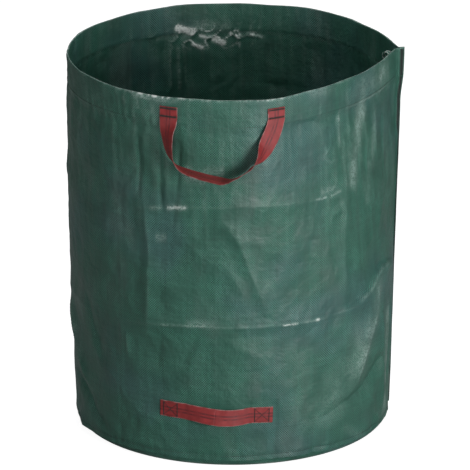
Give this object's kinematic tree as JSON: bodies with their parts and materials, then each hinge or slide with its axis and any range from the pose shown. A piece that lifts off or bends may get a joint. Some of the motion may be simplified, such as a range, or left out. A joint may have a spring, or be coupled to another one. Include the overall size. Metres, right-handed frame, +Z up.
{
  "type": "leaf bag",
  "caption": "Round free-standing garden leaf bag of green woven plastic cloth, with a sprung open mouth, red webbing carrying handles and a lower emptying handle.",
  "frame": {"origin": "centre of the base's flat underside, on the surface that the bag stands on", "axes": "+Z up; the front, with the lower handle and one carrying handle, faces -Y; the upright side seam is near +X"},
  "size_m": [0.6827, 0.7502, 0.7801],
  "materials": {
    "cloth": "laminated plain-woven plastic tape cloth, semi-gloss, creased",
    "hoop": "smooth extruded strip",
    "webbing": "ribbed woven webbing with darker stripes and pale selvedges",
    "thread": "twisted sewing thread"
  },
  "bodies": {
    "root": {"wall_panel": "cloth", "base_panel": "cloth", "base_seam_stitching": "thread", "side_seam_stitching": "thread", "lower_handle_left_end": "webbing", "lower_handle_right_end": "webbing", "lower_handle_left_stitching": "thread", "lower_handle_right_stitching": "thread"},
    "rim": {"rim_hem": "cloth", "rim_hoop": "hoop", "hem_stitching": "thread", "upper_handle_front_left_end": "webbing", "upper_handle_front_right_end": "webbing", "upper_handle_back_left_end": "webbing", "upper_handle_back_right_end": "webbing", "upper_handle_front_left_stitching": "thread", "upper_handle_front_right_stitching": "thread", "upper_handle_back_left_stitching": "thread", "upper_handle_back_right_stitching": "thread"},
    "upper_handle_front": {"upper_handle_front_loop": "webbing"},
    "upper_handle_back": {"upper_handle_back_loop": "webbing"},
    "lower_handle": {"lower_handle_strap": "webbing"}
  },
  "joints": [
    {"name": "rim_collapse", "type": "slide", "parent": "root", "child": "rim", "axis": [0, 0, 1], "range_m": [-0.45, 0], "deforming": ["wall_panel", "side_seam_stitching"]},
    {"name": "upper_front_swing", "type": "hinge", "parent": "rim", "child": "upper_handle_front", "pos_m": [0, -0.331, 0.7365], "axis": [-1, 0, 0], "range_deg": [0, 170]},
    {"name": "upper_back_swing", "type": "hinge", "parent": "rim", "child": "upper_handle_back", "pos_m": [0, 0.331, 0.7365], "axis": [1, 0, 0], "range_deg": [0, 170]},
    {"name": "lower_handle_pull", "type": "slide", "parent": "root", "child": "lower_handle", "axis": [-0.0454, -0.999, 0], "range_m": [0, 0.02], "stiffness_N_per_m": 40}
  ]
}
